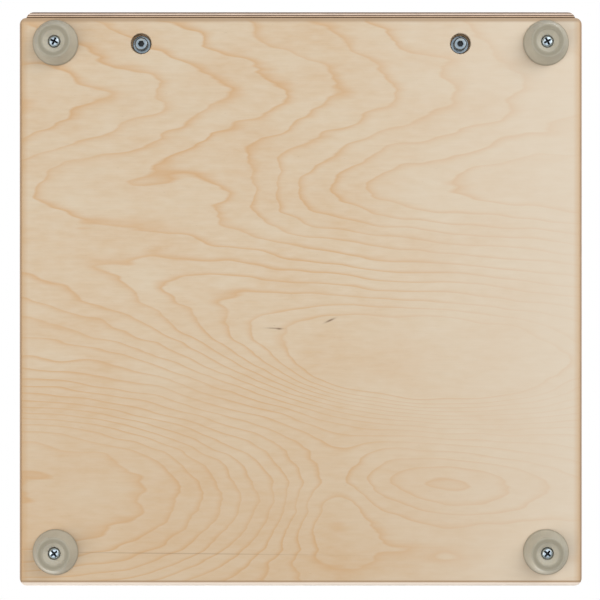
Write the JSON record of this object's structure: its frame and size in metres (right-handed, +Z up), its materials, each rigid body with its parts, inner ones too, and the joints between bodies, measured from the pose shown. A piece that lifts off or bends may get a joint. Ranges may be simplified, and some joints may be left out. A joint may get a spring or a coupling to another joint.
{
  "type": "cajon",
  "caption": "Plywood box drum with a thin striking plate, rear sound hole, silicone feet and snare strings tuned by hex-key screws in its underside.",
  "frame": {"origin": "on the floor, under the middle of the whole object, at the height of the feet's contact faces", "axes": "+Z up, -Y out of the striking plate (the front), +X to the right seen from the front"},
  "size_m": [0.3, 0.3058, 0.5],
  "materials": {
    "birch_plywood": "birch plywood, sanded and sealed with a satin clear lacquer, layered edges",
    "tapa_veneer": "thin plywood with a dark grey-brown veneer face, satin lacquer",
    "beech": "planed beech, unlacquered",
    "silicone": "cloudy translucent silicone, satin",
    "zinc_plated_steel": "bright zinc-plated steel",
    "string_steel": "wound steel string"
  },
  "bodies": {
    "box": {"bottom_panel": "birch_plywood", "left_side_panel": "birch_plywood", "right_side_panel": "birch_plywood", "top_panel": "birch_plywood", "back_panel": "birch_plywood", "front_batten_left": "beech", "front_batten_right": "beech", "bottom_left_glue_block": "beech", "bottom_right_glue_block": "beech", "top_left_glue_block": "beech", "top_right_glue_block": "beech", "tapa": "tapa_veneer", "tapa_screw_left_1": "zinc_plated_steel", "tapa_screw_left_2": "zinc_plated_steel", "tapa_screw_left_3": "zinc_plated_steel", "tapa_screw_left_4": "zinc_plated_steel", "tapa_screw_left_5": "zinc_plated_steel", "tapa_screw_right_1": "zinc_plated_steel", "tapa_screw_right_2": "zinc_plated_steel", "tapa_screw_right_3": "zinc_plated_steel", "tapa_screw_right_4": "zinc_plated_steel", "tapa_screw_right_5": "zinc_plated_steel", "tapa_screw_bottom_1": "zinc_plated_steel", "tapa_screw_top_1": "zinc_plated_steel", "tapa_screw_bottom_2": "zinc_plated_steel", "tapa_screw_top_2": "zinc_plated_steel", "tapa_screw_bottom_3": "zinc_plated_steel", "tapa_screw_top_3": "zinc_plated_steel", "tapa_screw_bottom_4": "zinc_plated_steel", "tapa_screw_top_4": "zinc_plated_steel", "front_left_foot": "silicone", "front_left_foot_screw": "zinc_plated_steel", "front_right_foot": "silicone", "front_right_foot_screw": "zinc_plated_steel", "rear_left_foot": "silicone", "rear_left_foot_screw": "zinc_plated_steel", "rear_right_foot": "silicone", "rear_right_foot_screw": "zinc_plated_steel", "string_anchor_bar": "beech", "string_bridge": "beech", "left_adjuster_washer": "zinc_plated_steel", "left_guide_block": "beech", "left_snare_string_inner": "string_steel", "left_snare_string_outer": "string_steel", "right_adjuster_washer": "zinc_plated_steel", "right_guide_block": "beech", "right_snare_string_inner": "string_steel", "right_snare_string_outer": "string_steel"},
    "left_adjuster": {"left_snare_adjuster": "zinc_plated_steel"},
    "left_carriage": {"left_snare_carriage": "zinc_plated_steel"},
    "right_adjuster": {"right_snare_adjuster": "zinc_plated_steel"},
    "right_carriage": {"right_snare_carriage": "zinc_plated_steel"}
  },
  "joints": [
    {"name": "left_adjuster_turn", "type": "hinge", "parent": "box", "child": "left_adjuster", "pos_m": [-0.085, -0.13598, 0.0145], "axis": [0, 0, 1], "range_deg": [-1800, 1800]},
    {"name": "left_carriage_slide", "type": "slide", "parent": "box", "child": "left_carriage", "axis": [0, 0, 1], "range_m": [-0.0035, 0.0035], "deforming": ["left_snare_string_inner", "left_snare_string_outer"]},
    {"name": "right_adjuster_turn", "type": "hinge", "parent": "box", "child": "right_adjuster", "pos_m": [0.085, -0.13598, 0.0145], "axis": [0, 0, 1], "range_deg": [-1800, 1800]},
    {"name": "right_carriage_slide", "type": "slide", "parent": "box", "child": "right_carriage", "axis": [0, 0, 1], "range_m": [-0.0035, 0.0035], "deforming": ["right_snare_string_inner", "right_snare_string_outer"]}
  ],
  "couplings": [
    {"joint": "left_adjuster_turn", "follows": "left_carriage_slide", "rad_per_m": -8976},
    {"joint": "right_adjuster_turn", "follows": "right_carriage_slide", "rad_per_m": -8976}
  ]
}
